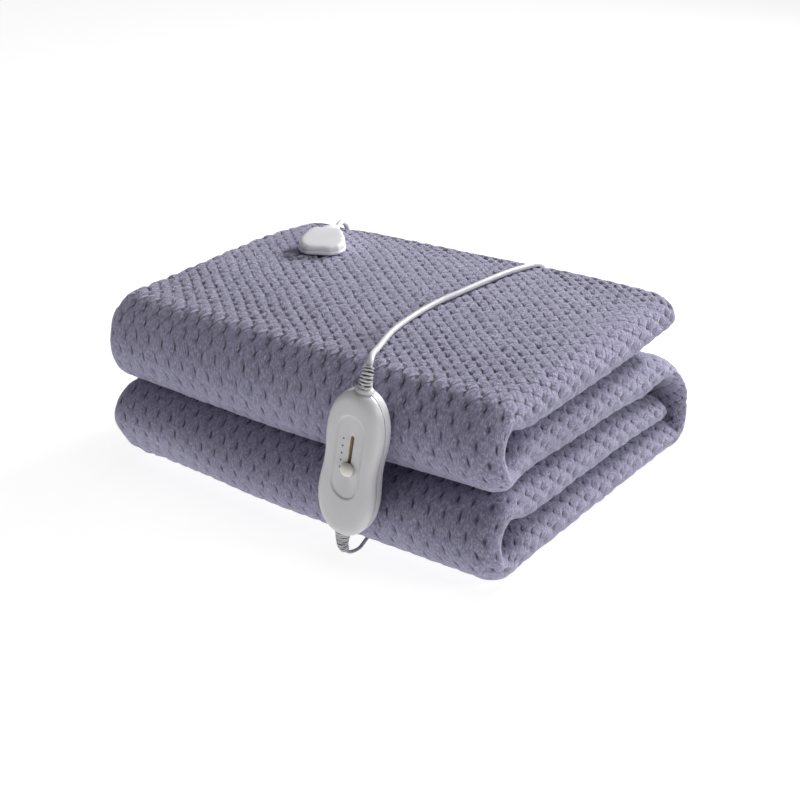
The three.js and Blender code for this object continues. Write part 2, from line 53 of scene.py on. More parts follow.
view = {
    "place": (0.74795, -1.04635, 0.6563),
    "aim": (0.03197, -0.04155, 0.08368),
    "lens": 72,
}

studioLights = [
    {"name": "back light", "place": (0.3, 1.55, 0.9), "aim": (0, 0.02, 0.1), "width": 0.4, "power": 38},
    {"name": "top light", "place": (0.3, 0.2, 2.1), "aim": (0, 0, 0.1), "width": 1.2, "power": 14},
    {"name": "right light", "place": (1.9, 0.35, 0.8), "aim": (0.05, 0, 0.08), "width": 0.5, "power": 13},
    {"name": "front fill", "place": (-0.1, -1.5, 0.02), "aim": (0, -0.17, 0.03), "width": 0.4,
     "power": 1.0},
    {"name": "left front light", "place": (-0.52, -0.8, 0.05), "aim": (-0.12, -0.17, 0.04), "width": 0.35,
     "power": 1.0},
]
worldStrength = 0.01

studioFloor = {
    "halfSide": 90,
    "darkest": 0.29,
    "lightest": 0.31,
    "grain": 40,
    "roughness": 0.95,
    "glow": 0.88,
}


def aimed(thing, place, aim):
    thing.location = place
    thing.rotation_euler = (Vector(aim) - Vector(place)).to_track_quat("-Z", "Y").to_euler()
    scene.collection.objects.link(thing)
    return thing


def setCamera():
    camera = bpy.data.objects.new("camera", bpy.data.cameras.new("camera"))
    camera.data.lens = view["lens"]
    camera.data.sensor_width = 36
    camera.data.clip_end = 50
    scene.camera = aimed(camera, view["place"], view["aim"])


def setLights():
    for row in studioLights:
        lamp = bpy.data.lights.new(row["name"], "AREA")
        lamp.size = row["width"]
        lamp.energy = row["power"]
        aimed(bpy.data.objects.new(row["name"], lamp), row["place"], row["aim"])
    world = bpy.data.worlds.new("studio")
    world.use_nodes = True
    background = world.node_tree.nodes["Background"]
    background.inputs["Color"].default_value = (1, 1, 1, 1)
    background.inputs["Strength"].default_value = worldStrength
    scene.world = world


# Small helpers for materials

def newMaterial(name, values):
    material = bpy.data.materials.new(name)
    material.use_nodes = True
    shader = material.node_tree.nodes["Principled BSDF"]
    for socket, value in values.items():
        shader.inputs[socket].default_value = value
    return material, material.node_tree, shader


def addNode(tree, kind, inputs=None, **settings):
    made = tree.nodes.new(kind)
    for key, value in settings.items():
        setattr(made, key, value)
    for socket, value in (inputs or {}).items():
        if isinstance(value, bpy.types.NodeSocket):
            tree.links.new(value, made.inputs[socket])
        else:
            made.inputs[socket].default_value = value
    return made


def mathNode(tree, operation, *values, clamp=False):
    inputs = dict(enumerate(values))
    return addNode(tree, "ShaderNodeMath", inputs, operation=operation, use_clamp=clamp).outputs[0]


def mixColours(tree, share, first, second):
    mixed = addNode(tree, "ShaderNodeMix", data_type="RGBA")
    for index, value in ((0, share), (6, first), (7, second)):
        if isinstance(value, bpy.types.NodeSocket):
            tree.links.new(value, mixed.inputs[index])
        else:
            mixed.inputs[index].default_value = value
    return mixed.outputs[2]


def spread(tree, value, low, high, newLow=0.0, newHigh=1.0):
    inputs = {0: value, 1: low, 2: high, 3: newLow, 4: newHigh}
    return addNode(tree, "ShaderNodeMapRange", inputs, clamp=True).outputs[0]


def noiseNode(tree, place, scale, detail, roughness=0.5):
    inputs = {"Vector": place, "Scale": scale, "Detail": detail, "Roughness": roughness}
    return addNode(tree, "ShaderNodeTexNoise", inputs).outputs["Fac"]


def floorMaterial():
    spec = studioFloor
    material, tree, shader = newMaterial("white floor", {
        "Roughness": spec["roughness"], "Emission Color": (1, 1, 1, 1),
        "Emission Strength": spec["glow"]})
    place = addNode(tree, "ShaderNodeTexCoord").outputs["Object"]
    grain = noiseNode(tree, place, spec["grain"], 2)
    shade = spread(tree, grain, 0.3, 0.7, spec["darkest"], spec["lightest"])
    tone = addNode(tree, "ShaderNodeCombineColor", {0: shade, 1: shade, 2: shade})
    tree.links.new(tone.outputs[0], shader.inputs["Base Color"])
    return material


def makeFloor():
    bm = bmesh.new()
    bmesh.ops.create_grid(bm, x_segments=4, y_segments=4, size=studioFloor["halfSide"])
    mesh = bpy.data.meshes.new("floor")
    bm.to_mesh(mesh)
    bm.free()
    mesh.materials.append(floorMaterial())
    floor = bpy.data.objects.new("floor", mesh)
    scene.collection.objects.link(floor)


setCamera()
setLights()
makeFloor()
print("stage: camera, lights and floor")


# Small helpers for meshes

def keep(name, bm, material, replaced=(), body="underblanket", sharp=None):
    mesh = bpy.data.meshes.new(name)
    bm.to_mesh(mesh)
    bm.free()
    mesh.shade_smooth()
    if sharp:
        mesh.set_sharp_from_angle(angle=math.radians(sharp))
    mesh.materials.append(material)
    piece = bpy.data.objects.new(name, mesh)
    scene.collection.objects.link(piece)
    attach(piece, body)
    if replaced:
        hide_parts(*replaced)
    return piece


# A closed body through rings of equal count. The rings join into a torus when looped is true.
def ringBody(rings, looped=False, bm=None):
    target = bm or bmesh.new()
    around = len(rings[0])
    along = len(rings) if looped else len(rings) - 1
    grid = bmesh.ops.create_grid(target, x_segments=around, y_segments=along, size=1)
    for vert in grid["verts"]:
        i = round((vert.co.x + 1) / 2 * around) % around
        j = round((vert.co.y + 1) / 2 * along) % len(rings)
        vert.co = rings[j][i]
    bmesh.ops.remove_doubles(target, verts=grid["verts"], dist=1e-7)
    bmesh.ops.holes_fill(target, edges=[e for e in target.edges if e.is_boundary])
    bmesh.ops.recalc_face_normals(target, faces=target.faces[:])
    return target


# A smooth curve through points, with its speed set by the root of their distance
def smoothRoute(points, stepLength):
    spots = [Vector(p) for p in points]
    spots = [2 * spots[0] - spots[1]] + spots + [2 * spots[-1] - spots[-2]]
    route = []
    for k in range(1, len(spots) - 2):
        p0, p1, p2, p3 = spots[k - 1:k + 3]
        d0, d1, d2 = ((b - a).length ** 0.5 for a, b in ((p0, p1), (p1, p2), (p2, p3)))
        t1 = ((p1 - p0) / d0 - (p2 - p0) / (d0 + d1) + (p2 - p1) / d1) * d1
        t2 = ((p2 - p1) / d1 - (p3 - p1) / (d1 + d2) + (p3 - p2) / d2) * d1
        steps = max(1, round((p2 - p1).length / stepLength))
        for i in range(steps):
            t = i / steps
            bend = (3 * (p2 - p1) - 2 * t1 - t2) * t ** 2 + (2 * (p1 - p2) + t1 + t2) * t ** 3
            route.append(p1 + t1 * t + bend)
    return route + [spots[-2]]


def routeLength(route):
    return sum((b - a).length for a, b in zip(route, route[1:]))


def turnsOf(sides):
    return [2 * math.pi * k / sides for k in range(sides)]


# Rings square to a route. radiusAt gives the radius from the share of the length and the angle.
def ringsAlong(route, radiusAt, sides):
    tangents = []
    for i in range(len(route)):
        ahead = route[min(i + 1, len(route) - 1)] - route[max(i - 1, 0)]
        tangents.append(ahead.normalized())
    side = tangents[0].orthogonal().normalized()
    if abs(tangents[0].x) < 0.9:
        side = (Vector((1, 0, 0)) - tangents[0] * tangents[0].x).normalized()
    total = routeLength(route)
    gone = 0
    rings = []
    for i, spot in enumerate(route):
        if i:
            gone += (spot - route[i - 1]).length
            side.rotate(tangents[i - 1].rotation_difference(tangents[i]))
        up = tangents[i].cross(side)
        ring = []
        for turn in turnsOf(sides):
            radius = radiusAt(gone / total, turn)
            ring.append(spot + side * radius * math.cos(turn) + up * radius * math.sin(turn))
        rings.append(ring)
    return rings


def toMetres(rings):
    return [[toFrame(p) for p in ring] for ring in rings]


# Plastics

dustScale, grainDepth = 26, 0.0002


def plasticMaterial(name, colour, dust, roughness, grain):
    material, tree, shader = newMaterial(name, {"Roughness": roughness, "Specular IOR Level": 0.5})
    place = addNode(tree, "ShaderNodeTexCoord").outputs["Object"]
    cloud = noiseNode(tree, place, dustScale, 3, 0.6)
    tint = mixColours(tree, spread(tree, cloud, 0.35, 0.7), colour, dust)
    tree.links.new(tint, shader.inputs["Base Color"])
    fine = noiseNode(tree, place, grain, 4, 0.6)
    worn = spread(tree, fine, 0.3, 0.7, roughness - 0.05, roughness + 0.07)
    tree.links.new(worn, shader.inputs["Roughness"])
    bump = addNode(tree, "ShaderNodeBump", {"Strength": 0.12, "Distance": grainDepth, "Height": fine})
    tree.links.new(bump.outputs["Normal"], shader.inputs["Normal"])
    return material


# Each row has the colour, the colour where dust lies, the roughness and the scale of the grain
cordJacket = plasticMaterial("cord jacket", (0.7, 0.7, 0.715, 1), (0.64, 0.64, 0.655, 1), 0.36, 900)
shellPlastic = plasticMaterial("shell plastic", (0.66, 0.65, 0.67, 1), (0.62, 0.61, 0.63, 1), 0.36, 1500)
connectorPlastic = plasticMaterial(
    "connector plastic", (0.9, 0.9, 0.93, 1), (0.86, 0.86, 0.9, 1), 0.42, 1500)
# Slot colour: a darker warm brown, painted shade inside the slider slot
slotPaintedShade = plasticMaterial("slot painted shade", (0.5, 0.44, 0.31, 1), (0.42, 0.37, 0.26, 1), 0.55, 1500)
# Groove colour: a dark grey, painted shadow in the reliefs' slots
groovePaintedShadow = plasticMaterial("groove painted shadow", (0.2, 0.195, 0.21, 1), (0.15, 0.147, 0.16, 1), 0.6, 900)
# Lead colour: a grey darker than the control cord, painted shade for the shade the lead lies in
leadShadeGrey = plasticMaterial("lead painted shade grey", (0.4, 0.39, 0.43, 1), (0.35, 0.34, 0.38, 1), 0.42, 900)
knobPlastic = plasticMaterial("knob plastic", (0.85, 0.82, 0.75, 1), (0.8, 0.77, 0.7, 1), 0.34, 1200)

# Cords

controlCord = {
    "diameter": 5.0,
    "step": 3.0,
    "sides": 16,
    "length": 0.66,
    "route": [
        (93.3, -165.4, 173.8), (92.5, -163, 176.2), (88.4, -156, 176.8), (79.8, -142.7, 172.4),
        (68.5, -119.2, 167.6), (59, -98.5, 164.4), (51, -76, 162.5), (46.9, -52.8, 162.1),
        (44.6, -25.8, 162.1), (44.5, 2.7, 162.1), (47, 26.5, 162.1), (49.5, 54.9, 162.1),
        (53.4, 94.8, 161.4), (56.6, 125, 158.9), (57.5, 139, 156.6), (58, 148.6, 151.2),
        (57.4, 153, 141.6), (54.5, 153.6, 129), (48.5, 152, 114), (38, 148.4, 101.8),
        (20, 144.6, 94.6), (-10, 143.4, 91.9), (-45, 143.4, 91.9), (-85, 143.4, 92.9),
        (-118, 144.8, 95.8), (-140, 148.2, 103), (-153.5, 149.6, 113), (-161, 149.6, 126),
        (-163.6, 148.4, 139), (-163.4, 142, 151.2), (-160.6, 132, 156.2), (-156, 121, 157.2),
        (-152.2, 113.3, 157.5),
    ],
}

mainsLead = {
    "diameter": 3.0,
    "step": 2.2,
    "sides": 10,
    "length": 1.81,
    "under": [
        (69.1, -167.6, 8.1), (69.3, -166.1, 5.9), (69.8, -162, 3.2), (70.5, -156.5, 2),
        (70.6, -150, 1.8), (67.6, -139, 1.8), (64.8, -128, 1.8), (64, -110, 1.8), (64, -40, 1.8),
        (64, 60, 1.8), (64, 150, 1.8), (64, 190, 2), (64, 214.2, 3),
    ],
    "tail": [
        (73.1, 205.05, 12.55), (60, 205.05, 11.2), (46, 205.25, 8.2), (32, 205.65, 5.1),
        (20, 205.95, 3.6), (14, 206.05, 3.5), (4.7, 206.05, 5.1), (-6.3, 206.05, 7.25),
        (-16, 206.05, 7.3),
    ],
}

leadCoil = {
    "middle": (84.95, 226.0),
    "radii": (20.95, 17.85, 14.75),
    "lowest": 3.25,
    "pitch": 3.1,
    "layers": 4,
    "turns": 11.75,
    "pointsInTurn": 24,
    "stepFrom": 0.72,  # from here on a turn moves to the next seat
    "stepShare": 0.28,
}


# Each layer runs in or out by one turn at a time, then steps up to the next
def coilPoints():
    seats = []
    for layer in range(leadCoil["layers"]):
        order = leadCoil["radii"] if layer % 2 == 0 else leadCoil["radii"][::-1]
        seats += [(radius, leadCoil["lowest"] + layer * leadCoil["pitch"]) for radius in order]
    seats.append(seats[-1])
    points = []
    for k in range(round(leadCoil["turns"] * leadCoil["pointsInTurn"]) + 1):
        turned = k / leadCoil["pointsInTurn"]
        seat = min(int(turned), len(seats) - 2)
        share = min(1, max(0, (turned - seat - leadCoil["stepFrom"]) / leadCoil["stepShare"]))
        share = share * share * (3 - 2 * share)
        radius, height = (a + (b - a) * share for a, b in zip(seats[seat], seats[seat + 1]))
        angle = math.pi - 2 * math.pi * turned
        x, y = leadCoil["middle"]
        points.append((x + radius * math.cos(angle), y + radius * math.sin(angle), height))
    return points


def makeTube(name, spec, route, material, replaced):
    radius = spec["diameter"] / 2
    rings = ringsAlong(route, lambda share, turn: radius, spec["sides"])
    return keep(name, ringBody(toMetres(rings)), material, replaced)


controlRoute = smoothRoute(controlCord["route"], controlCord["step"])
leadRoute = smoothRoute(mainsLead["under"] + coilPoints() + mainsLead["tail"], mainsLead["step"])
cordNodes = ("control_cord",)
leadNodes = ("mains_lead", "mains_lead_tail", "lead_coil")
controlCordPiece = makeTube("control_cord_jacket", controlCord, controlRoute, cordJacket, cordNodes)
mainsLeadPiece = makeTube("mains_lead_jacket", mainsLead, leadRoute, leadShadeGrey, leadNodes)
print("stage: cords,", round(routeLength(controlRoute)), "and", round(routeLength(leadRoute)), "mm long")

# Coil tie and plug

coilTie = {
    "width": 6.0,
    "thickness": 1.2,
    "low": 1.4,
    "high": 14.4,
    "near": 12.4,
    "far": 22.8,
    "innerCorner": 1.2,
    "outerCorner": 2.4,
    "edge": 0.3,
}

plug = {
    "middle": (-12.3, 206.05, 7.3),
    "length": 34.0,
    "width": 36.0,
    "thickness": 14.0,
    "neck": 10.8,
    "shoulder": 14.0,
    "pinRadius": 2.0,
    "pinLength": 19.0,
    "pinSpacing": 9.3,
}


def roundedLoop(low, high, near, far, corner, arcSteps):
    loop = []
    corners = ((far - corner, high - corner, 0), (near + corner, high - corner, 1),
               (near + corner, low + corner, 2), (far - corner, low + corner, 3))
    for x, z, quarter in corners:
        for i in range(arcSteps + 1):
            angle = math.pi / 2 * (quarter + i / arcSteps)
            loop.append((x + corner * math.cos(angle), z + corner * math.sin(angle)))
    return loop


def makeCoilTie():
    spec = coilTie
    inset = spec["width"] / 2 - spec["edge"]
    grow = spec["thickness"]
    low, high, near, far = spec["low"], spec["high"], spec["near"], spec["far"]
    inner = roundedLoop(low, high, near, far, spec["innerCorner"], 5)
    outer = roundedLoop(low - grow, high + grow, near - grow, far + grow, spec["outerCorner"], 5)
    x, y = leadCoil["middle"]
    rings = []
    for (xIn, zIn), (xOut, zOut) in zip(inner, outer):
        section = ((xIn, zIn, -inset), (xIn, zIn, inset), (xOut, zOut, inset), (xOut, zOut, -inset))
        rings.append([(x + a, y + across, b) for a, b, across in section])
    bm = ringBody(toMetres(rings), looped=True)
    return keep("coil_tie_band", bm, knobPlastic, ("coil_tie",), sharp=40)


# A closed outline, resampled so that its points lie evenly from its lowest one
def evenOutline(corners, count):
    spots = [Vector(p) for p in corners]
    lengths = [(spots[(i + 1) % len(spots)] - p).length for i, p in enumerate(spots)]
    total = sum(lengths)
    even = []
    place = 0
    gone = 0
    for k in range(count):
        want = total * k / count
        while gone + lengths[place] < want:
            gone += lengths[place]
            place += 1
        share = (want - gone) / lengths[place]
        even.append(spots[place].lerp(spots[(place + 1) % len(spots)], share))
    return even


def makePlug():
    spec = plug
    middle = Vector(spec["middle"])
    long, half, neck = spec["length"], spec["width"] / 2, spec["neck"] / 2
    shoulder = spec["shoulder"]
    outline = [(0, 0), (0, neck), (-shoulder * 0.45, neck + 5), (-shoulder, half - 1),
               (-shoulder - 3, half), (-long, half), (-long, -half), (-shoulder - 3, -half),
               (-shoulder, 1 - half), (-shoulder * 0.45, -neck - 5), (0, -neck)]
    deep = spec["thickness"] / 2
    levels = [(-deep, 2.4), (-deep + 0.7, 0.7), (-deep + 2.4, 0), (-0.5, 0), (-0.35, 0.5), (0.35, 0.5),
              (0.5, 0), (deep - 2.4, 0), (deep - 0.7, 0.7), (deep, 2.4)]
    even = evenOutline([(x, y, 0) for x, y in outline], 96)
    centre = Vector((-long / 2, 0, 0))
    rings = []
    for height, inset in levels:
        shrink = Vector((1 - 2 * inset / long, 1 - 2 * inset / spec["width"], 1))
        rings.append([middle + centre + (p - centre) * shrink + Vector((0, 0, height)) for p in even])
    return keep("plug_body_case", ringBody(toMetres(rings)), cordJacket, ("plug_body",), sharp=50)


def makePin(number, side):
    radius, long = plug["pinRadius"], plug["pinLength"]
    start = Vector(plug["middle"]) + Vector((-plug["length"] - 0.3, side * plug["pinSpacing"], 0))
    profile = [(0, radius), (0.55, radius - 0.12), (0.62, radius), (0.96, radius),
               (0.985, radius - 0.4), (1, radius - 1.1)]
    rings = []
    for share, ringRadius in profile:
        spot = start + Vector((-share * long, 0, 0))
        rings.append([spot + Vector((0, ringRadius * math.cos(t), ringRadius * math.sin(t)))
                      for t in turnsOf(24)])
    name = f"plug_pin_{number}"
    return keep(name + "_metal", ringBody(toMetres(rings)), pinMetal, (name,), sharp=35)


def metalMaterial():
    material, tree, shader = newMaterial("pin metal", {"Metallic": 1.0, "Roughness": 0.28})
    place = addNode(tree, "ShaderNodeTexCoord").outputs["Object"]
    scratch = noiseNode(tree, place, 700, 3)
    tint = mixColours(tree, scratch, (0.6, 0.57, 0.48, 1), (0.72, 0.7, 0.62, 1))
    tree.links.new(tint, shader.inputs["Base Color"])
    tree.links.new(spread(tree, scratch, 0.3, 0.7, 0.2, 0.36), shader.inputs["Roughness"])
    return material


pinMetal = metalMaterial()


# Each rib's length goes from 0 to 1: its slot closes at slotEnd and the next one opens at slotStart
reliefRib = {
    "step": 0.35,
    "sides": 40,
    "slotEnd": 0.42,
    "slotFade": 0.08,
    "slotStart": 0.9,
    "slotRise": 0.1,
    "bridge": 0.55,
    "darkDepth": 0.45,
    "darkEnd": 0.96,
}


# Strain reliefs: a collar, then ribs that get smaller, with slots that change sides
def makeRelief(name, spec):
    route = smoothRoute(spec["route"], reliefRib["step"])
    ribs = spec["ribs"]
    collar = spec["collar"]

    def radiusAt(share, turn):
        if share < collar:
            return spec["collarRadius"] + (spec["base"] + 0.4 - spec["collarRadius"]) * share / collar
        place = (share - collar) / (1 - collar) * ribs
        rib = min(int(place), ribs - 1)
        radius = spec["base"] + (spec["tip"] - spec["base"]) * rib / (ribs - 1)
        bridge = max(0, math.cos(2 * turn + (math.pi if rib % 2 else 0))) ** 2
        within = place - rib
        if within < reliefRib["slotStart"]:
            edge = min(1, max(0, (reliefRib["slotEnd"] - within) / reliefRib["slotFade"]))
        else:
            edge = min(1, (within - reliefRib["slotStart"]) / reliefRib["slotRise"])
        return radius - spec["groove"] * edge * (1 - reliefRib["bridge"] * bridge)

    rings = ringsAlong(route, radiusAt, reliefRib["sides"])
    bm = ringBody(toMetres(rings))
    relief = keep(name + "_ribs", bm, spec["material"], (name,), sharp=60)
    relief.data.materials.append(groovePaintedShadow)
    # Faces deep in the slots take the dark groove colour: painted shadow in the cut-out slots
    spots = [toFrame(p) for p in route]
    for face in relief.data.polygons:
        near = min(range(len(spots)), key=lambda i: (spots[i] - face.center).length_squared)
        share = near / (len(spots) - 1)
        outer = spec["base"] + (spec["tip"] - spec["base"]) * share
        slotRadius = outer - reliefRib["darkDepth"] * spec["groove"]
        deep = (spots[near] - face.center).length * 1000 < slotRadius
        if deep and collar < share < reliefRib["darkEnd"]:
            face.material_index = 1
    return relief


reliefs = {
    "relief_upper": {
        "route": [(92.73, -171, 155.73), (93.9, -170.6, 162), (94.2, -169, 168.2), (93.4, -165.8, 173.3)],
        "collar": 0.13, "collarRadius": 8.0, "base": 5.5, "tip": 4.4, "groove": 2.5, "ribs": 7,
        "material": shellPlastic, "slot": "shell",
    },
    "relief_lower": {
        "route": [(70.27, -171, 27.07), (69.4, -171, 20), (69, -170.4, 14), (69.1, -167.9, 8.6)],
        "collar": 0.06, "collarRadius": 6.8, "base": 6.2, "tip": 3.8, "groove": 2.1, "ribs": 8,
        "material": shellPlastic, "slot": "shell",
    },
    "plug_relief": {
        "route": [(-12, 206.05, 7.3), (-6.3, 206.05, 7.25), (4.7, 206.05, 5.1), (14, 206.05, 3.5)],
        "collar": 0.1, "collarRadius": 5.2, "base": 4.8, "tip": 3.0, "groove": 1.2, "ribs": 7,
        "material": cordJacket, "slot": "cord",
    },
}
reliefPieces = {name: makeRelief(name, spec) for name, spec in reliefs.items()}
leadExtras = [makeCoilTie(), reliefPieces["plug_relief"], makePlug(), makePin(1, -1), makePin(2, 1)]
print("stage: reliefs, coil tie and plug")

# Controller: x across, y up along it, z out of its face

controller = {
    "middle": (81.5, -171, 91.4),
    "lean": 9.9,
    "length": 130.0,
    "width": 54.0,
    "waist": 3.2,
    "waistReach": 0.34,
    "topPower": 3.4,
    "bottomPower": 3.8,
    "sidePower": 2.1,
    "outlinePoints": 160,
    "backLevels": [(-0.15, 0), (-4, 0), (-7, 0.4), (-8.8, 1.4), (-10, 2.8), (-10.7, 4.6), (-11, 7)],
    "frontLevels": [(0.15, 0.25), (0.5, 0), (3, 0), (5.2, 0.35), (7, 1.1), (8.4, 2.3), (9.5, 4.0),
                    (10.3, 6.3), (10.75, 8.8), (11, 11.6)],
    "recessMiddle": (0.4, 8.7),
    "recessLevels": [(11.0, 27.4, 77.4), (10.93, 25.8, 75.8), (10.6, 24.6, 74.6), (10.1, 23.6, 73.6),
                     (9.72, 22.4, 72.4), (9.6, 20.6, 70.6)],
    "slotMiddle": (2.0, 12.0),
    "slotLevels": [(9.6, 3.8, 34.4), (9.5, 3.3, 33.9), (9.3, 3.1, 33.7), (4.6, 3.1, 33.7)],
}

controllerLean = math.radians(controller["lean"])
controllerAcross = Vector((math.cos(controllerLean), 0, -math.sin(controllerLean)))
controllerUp = Vector((math.sin(controllerLean), 0, math.cos(controllerLean)))


def onController(x, y, z):
    middle = Vector(controller["middle"])
    return toFrame(middle + controllerAcross * x + controllerUp * y + Vector((0, -z, 0)))


def levelRing(outline, out):
    return [onController(p.x, p.y, out) for p in outline]


def bodyOutline(inset):
    half = controller["width"] / 2
    long = controller["length"] / 2
    shrink = 1 - inset / half
    right = []
    for i in range(241):
        share = -math.cos(math.pi * i / 240)
        power = controller["topPower"] if share > 0 else controller["bottomPower"]
        end = max(0, 1 - abs(share) ** power) ** (1 / controller["sidePower"])
        width = half * end - controller["waist"] * math.exp(-((share / controller["waistReach"]) ** 2))
        right.append((max(0, width) * shrink, share * (long - inset), 0))
    left = [(-x, y, z) for x, y, z in right[-2:0:-1]]
    return evenOutline(right + left, controller["outlinePoints"])


def roundEnded(width, length, middle):
    radius = width / 2
    straight = length / 2 - radius
    corners = []
    for i in range(121):
        angle = -math.pi / 2 + math.pi * i / 120
        lift = straight if angle > 0 else -straight
        corners.append((radius * math.cos(angle), lift + radius * math.sin(angle), 0))
    corners += [(-x, y, z) for x, y, z in corners[-2:0:-1]]
    even = evenOutline(corners, controller["outlinePoints"])
    return [p + Vector((middle[0], middle[1], 0)) for p in even]


def makeShells():
    back = [levelRing(bodyOutline(inset), out) for out, inset in controller["backLevels"]]
    front = [levelRing(bodyOutline(inset), out) for out, inset in controller["frontLevels"]]
    for levels, middle in (("recessLevels", "recessMiddle"), ("slotLevels", "slotMiddle")):
        for out, width, length in controller[levels]:
            front.append(levelRing(roundEnded(width, length, controller[middle]), out))
    keep("controller_back", ringBody(back), shellPlastic, ("housing_back",), sharp=50)
    shell = keep("controller_front", ringBody(front), shellPlastic, ("housing_front",), sharp=50)
    # The slot's walls and floor take the slot colour: painted shade in the recess
    shell.data.materials.append(slotPaintedShade)
    slotX, slotY = controller["slotMiddle"]
    for face in shell.data.polygons:
        spot = face.center * 1000 - originShift - Vector(controller["middle"])
        x, y = spot.dot(controllerAcross), spot.dot(controllerUp)
        inSlot = abs(x - slotX) < 2.2 and abs(y - slotY) < 18
        if inSlot and 4 < -spot.y < 9.45:
            face.material_index = 1


knob = {"across": 2.0, "up": -1.0, "foot": 9.9, "radius": 5.9, "rise": 5.2, "edge": 1.2}

dots = {"across": -5.9, "ups": (23.4, 16.8, 10.3, 3.9, -2.6), "radius": 0.85, "low": 9.5, "high": 9.66}


def makeKnob():
    spec = knob
    profile = [(spec["radius"] - 0.3, 0), (spec["radius"], 0.3), (spec["radius"], spec["edge"])]
    for i in range(1, 12):
        turn = math.pi / 2 * i / 12
        height = spec["edge"] + (spec["rise"] - spec["edge"]) * math.sin(turn)
        profile.append((spec["radius"] * math.cos(turn), height))
    rings = []
    for radius, height in profile:
        ring = []
        for turn in turnsOf(48):
            x, y = radius * math.cos(turn), radius * math.sin(turn)
            ring.append(onController(spec["across"] + x, spec["up"] + y, spec["foot"] + height))
        rings.append(ring)
    bm = ringBody(rings)
    stem = roundEnded(2.8, 7, (spec["across"], spec["up"]))
    ringBody([levelRing(stem, depth) for depth in (spec["foot"] + 0.4, spec["foot"] - 4.0)], bm=bm)
    keep("slider_knob_cap", bm, knobPlastic, ("slider_knob",), body="slider", sharp=60)


def dotMaterial():
    material, tree, shader = newMaterial("printed dot", {"Roughness": 0.6})
    place = addNode(tree, "ShaderNodeTexCoord").outputs["Object"]
    tint = mixColours(tree, noiseNode(tree, place, 2500, 2), (0.07, 0.07, 0.1, 1), (0.14, 0.14, 0.18, 1))
    tree.links.new(tint, shader.inputs["Base Color"])
    return material


def makeDots():
    bm = bmesh.new()
    for up in dots["ups"]:
        rings = []
        for height in (dots["low"], dots["high"]):
            radius = dots["radius"]
            rings.append([
                onController(dots["across"] + radius * math.cos(t), up + radius * math.sin(t), height)
                for t in turnsOf(16)])
        ringBody(rings, bm=bm)
    keep("level_dots", bm, dotMaterial(), sharp=40)


makeShells()
makeKnob()
makeDots()
print("stage: controller")

# Connector: x across it, y towards its cord, z up

connector = {
    "place": (-113, 36, 159.9),
    "turn": 27.0,
    "outline": [(11, 0), (18, 4.5), (21.8, 12), (21.4, 22), (16.6, 36), (12.4, 43)],
    "socketLevels": [(0, 0.8), (0.5, 0.1), (1, 0), (2.6, 0), (3, 0.4)],
    "coverLevels": [(3.3, 1.2), (3.6, 0.7), (8.6, 0.9), (11, 1.3), (12.4, 2.0), (13.4, 3.0),
                    (13.85, 4.2), (14, 6), (14, 10)],
    "insetHalf": 24,
    "insetMiddle": 21,
    "slopeFoot": 3.6,
    "slopeShare": 0.38,
    "slopeEnd": 34,
    "neck": [(30, 11, 3.4, 12), (44, 10.6, 3.0, 12), (56, 8.6, -0.8, 10.5), (68, 6, -3.2, 6),
             (86, 3.6, -5.8, 0.8)],
}

connectorTurn = Matrix.Rotation(math.radians(connector["turn"]), 3, "Z")


def onConnector(x, y, z):
    return toFrame(Vector(connector["place"]) + connectorTurn @ Vector((x, y, z)))


def connectorRing(inset, height):
    shrink = 1 - inset / connector["insetHalf"]
    middle = connector["insetMiddle"]
    right = [(half * shrink, middle + (along - middle) * shrink, 0)
             for half, along in connector["outline"]]
    start = (0, right[0][1], 0)
    left = [(-x, y, z) for x, y, z in right[::-1]]
    even = evenOutline([start] + right + left, 120)
    even = [(even[k - 1] + 2 * p + even[(k + 1) % len(even)]) / 4 for k, p in enumerate(even)]
    low, least = connector["slopeFoot"], connector["slopeShare"]
    rises = [least + (1 - least) * min(1, max(0, p.y / connector["slopeEnd"])) for p in even]
    return [onConnector(p.x, p.y, low + (height - low) * rise if height > low else height)
            for p, rise in zip(even, rises)]


def makeConnector():
    for name, levels, replaced in (("connector_socket_plate", "socketLevels", "connector_socket"),
                                   ("connector_cover", "coverLevels", "connector_plug")):
        rings = [connectorRing(inset, height) for height, inset in connector[levels]]
        keep(name, ringBody(rings), connectorPlastic, (replaced,), sharp=50)
    rows = connector["neck"]
    steps = 6
    rings = []
    for a, b in zip(rows, rows[1:]):
        for i in range(steps + (b is rows[-1])):
            share = i / steps
            along, half, low, high = (p + (q - p) * share for p, q in zip(a, b))
            rings.append([
                onConnector(-half * math.cos(t), along, (low + high + (high - low) * math.sin(t)) / 2)
                for t in turnsOf(32)])
    keep("connector_neck", ringBody(rings), connectorPlastic, sharp=50)


makeConnector()
print("stage: connector")

# The cloth: a flat cut that is folded by rule. u runs across it, v along it and w through it.

ply, plyGap, bandGap = 9.1, 0.7, 1.5
plyPitch = ply + plyGap
halfBand = (4 * ply + 3 * plyGap) / 2
bandPitch = 2 * halfBand + bandGap
smallFold, wrapFold = plyPitch / 2, 1.5 * plyPitch
leftCentre = -200 + smallFold + ply / 2
rightCentre = 200 - wrapFold - ply / 2
hemX = rightCentre + 3
noseY, tongueY, leadX = 149, 148, 64
frontCentre = -158 + bandPitch / 2 + halfBand
upperCorner, lowerCorner = 45, 8
topCornerY = 187 - halfBand - upperCorner
bottomCornerY = 187 - halfBand - lowerCorner

